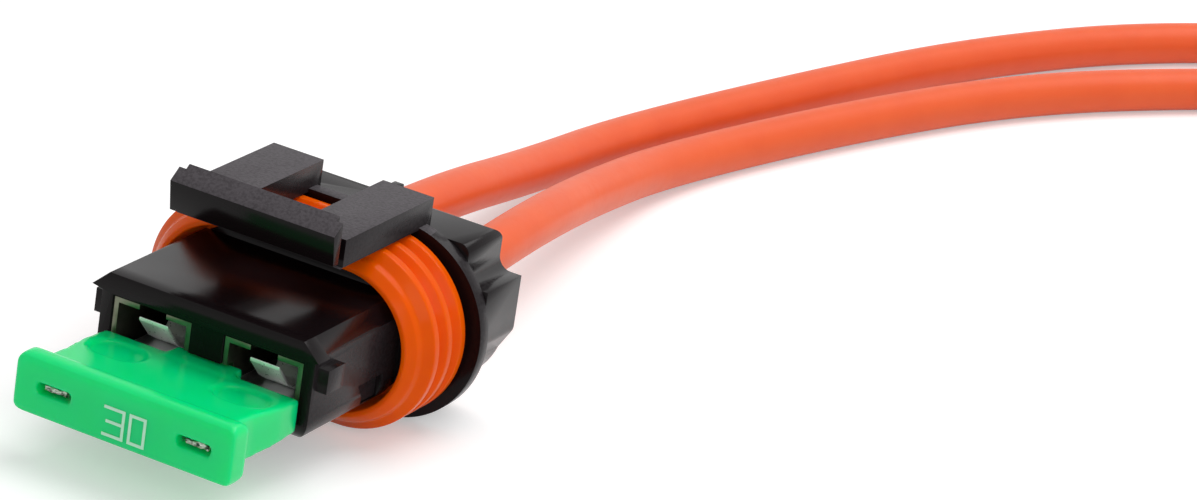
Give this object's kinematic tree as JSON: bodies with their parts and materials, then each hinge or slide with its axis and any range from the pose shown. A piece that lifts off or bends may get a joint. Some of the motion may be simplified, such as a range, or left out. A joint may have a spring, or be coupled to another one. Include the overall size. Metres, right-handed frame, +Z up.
{
  "type": "inline fuse holder",
  "caption": "Sealed inline holder for a plug-in blade fuse, with a latch bridge over its ribbed ring seal and a pair of insulated leads with bare ends.",
  "frame": {"origin": "on the surface that the flange stands on, in the plane of symmetry, in the middle of the flange's thickness", "axes": "+Z up, +Y from the fuse to the leads, +X to the right seen from the fuse's end"},
  "size_m": [0.0538, 0.1784, 0.0198],
  "materials": {
    "black_nylon": "moulded black nylon with a soft sheen",
    "orange_silicone": "moulded orange silicone",
    "tinned_brass": "tin plated stamping",
    "spring_steel": "bright spring strip",
    "orange_insulation": "extruded orange insulation with a soft gloss",
    "bare_copper": "stranded bare copper",
    "green_plastic": "translucent green plastic",
    "fuse_metal": "stamped zinc, tin plated"
  },
  "bodies": {
    "holder": {"housing": "black_nylon", "secondary_lock": "black_nylon", "ring_seal": "orange_silicone", "cable_seal_left": "orange_silicone", "cable_seal_right": "orange_silicone", "terminal_left": "tinned_brass", "terminal_right": "tinned_brass", "contact_spring_left": "spring_steel", "contact_spring_right": "spring_steel", "lead_left_jacket": "orange_insulation", "lead_right_jacket": "orange_insulation", "lead_left_conductor": "bare_copper", "lead_right_conductor": "bare_copper"},
    "fuse": {"fuse_body": "green_plastic", "fuse_element": "fuse_metal"}
  },
  "joints": [
    {"name": "fuse_pull", "type": "slide", "parent": "holder", "child": "fuse", "axis": [0, -1, 0], "range_m": [0, 0.008]}
  ]
}
